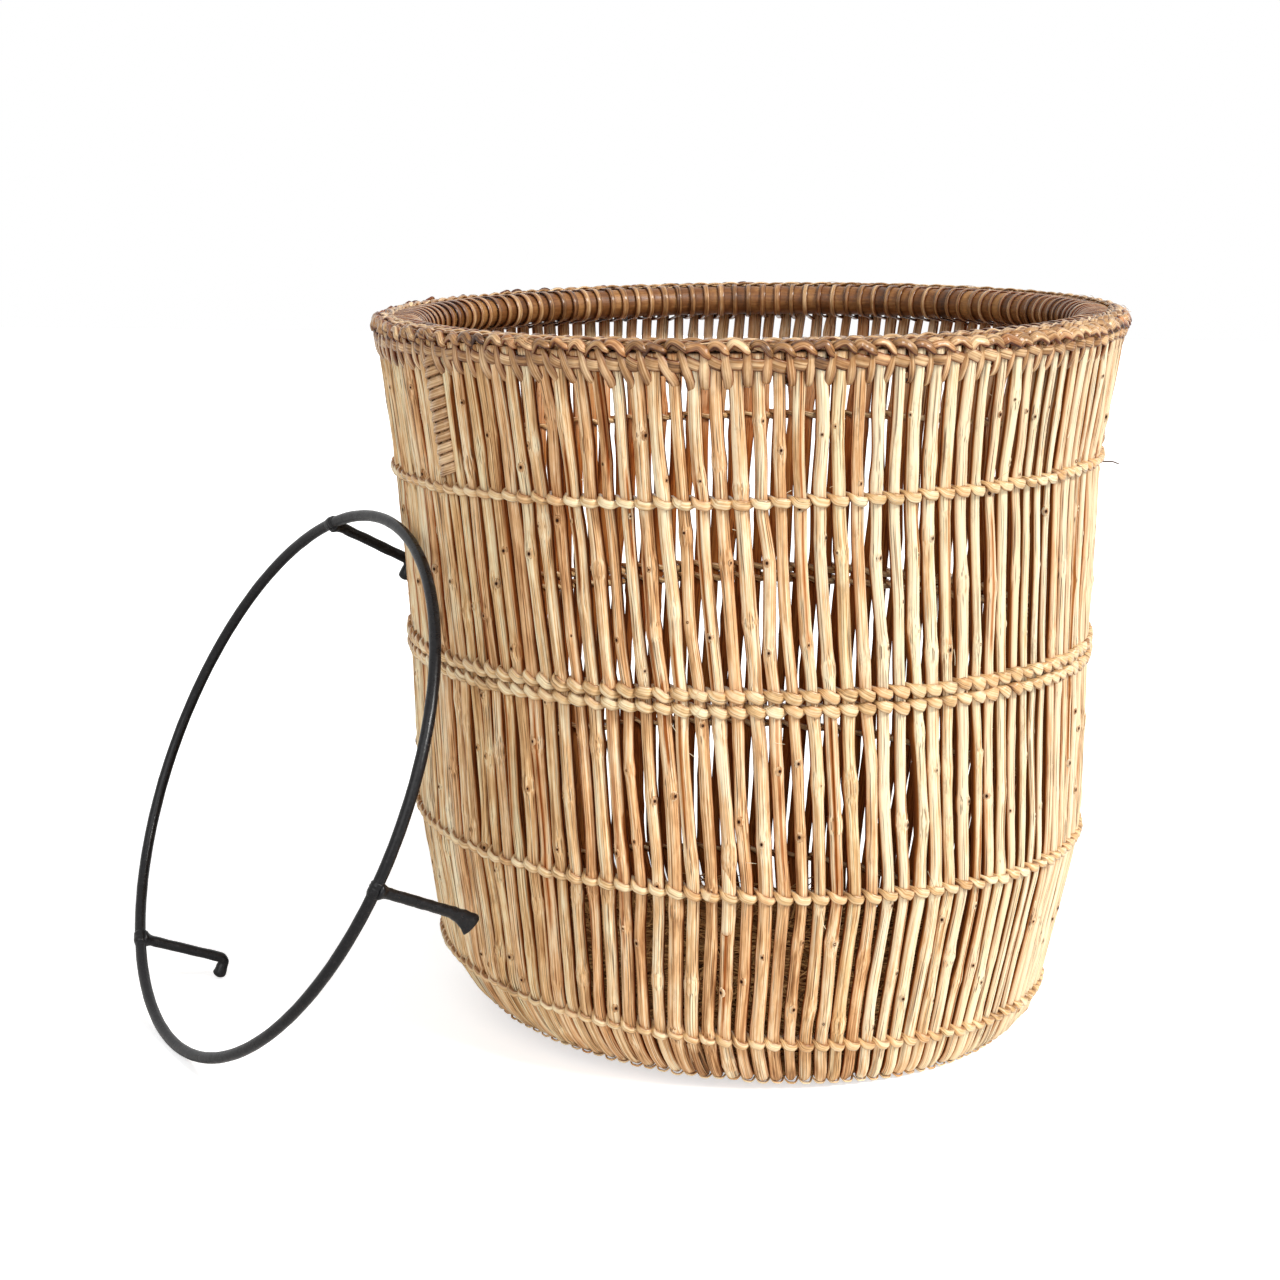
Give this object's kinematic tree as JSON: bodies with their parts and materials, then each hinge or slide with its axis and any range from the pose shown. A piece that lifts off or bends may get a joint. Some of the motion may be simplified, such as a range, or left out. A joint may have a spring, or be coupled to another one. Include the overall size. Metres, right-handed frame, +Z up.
{
  "type": "fish trap",
  "caption": "Woven fish trap: round open basket of upright peeled sticks held by twined cane rows, with a rolled rim and a loose black ring stand leaning on it.",
  "frame": {"origin": "on the floor at the centre of the base's flat underside", "axes": "+Z up; the front of the trap faces -Y, and the loose stand leans on its -X side"},
  "size_m": [0.699, 0.5307, 0.4984],
  "materials": {
    "peeled_stick": "bare peeled wood, dry, with knots",
    "split_cane": "smooth split cane with a soft shine",
    "border_cane": "split cane, plaited",
    "bark_wrap": "bark strip wrapping",
    "base_grass": "dry twisted grass and sticks",
    "black_iron": "black paint on iron rod, half gloss"
  },
  "bodies": {
    "basket": {"wall_sticks_01": "peeled_stick", "wall_sticks_02": "peeled_stick", "wall_sticks_03": "peeled_stick", "wall_sticks_04": "peeled_stick", "wall_sticks_05": "peeled_stick", "wall_sticks_06": "peeled_stick", "wall_sticks_07": "peeled_stick", "wall_sticks_08": "peeled_stick", "wall_sticks_09": "peeled_stick", "wall_sticks_10": "peeled_stick", "wall_sticks_11": "peeled_stick", "wall_sticks_12": "peeled_stick", "wall_sticks_13": "peeled_stick", "wall_sticks_14": "peeled_stick", "wall_sticks_15": "peeled_stick", "wall_sticks_16": "peeled_stick", "row_1_outer_strand": "split_cane", "row_1_inner_strand": "split_cane", "row_2_upper_outer_strand": "split_cane", "row_2_upper_inner_strand": "split_cane", "row_2_lower_outer_strand": "split_cane", "row_2_lower_inner_strand": "split_cane", "row_3_outer_strand": "split_cane", "row_3_inner_strand": "split_cane", "row_4_outer_strand": "split_cane", "row_4_inner_strand": "split_cane", "edge_strand": "split_cane", "rim_border": "border_cane", "rim_hoop": "bark_wrap", "base": "base_grass"},
    "stand": {"stand_ring": "black_iron", "stand_leg_1": "black_iron", "stand_leg_2": "black_iron", "stand_leg_3": "black_iron"}
  },
  "joints": [
    {"name": "stand_slide", "type": "slide", "parent": "basket", "child": "stand", "axis": [-0.8453, -0.5344, 0], "range_m": [0, 0.15]}
  ]
}
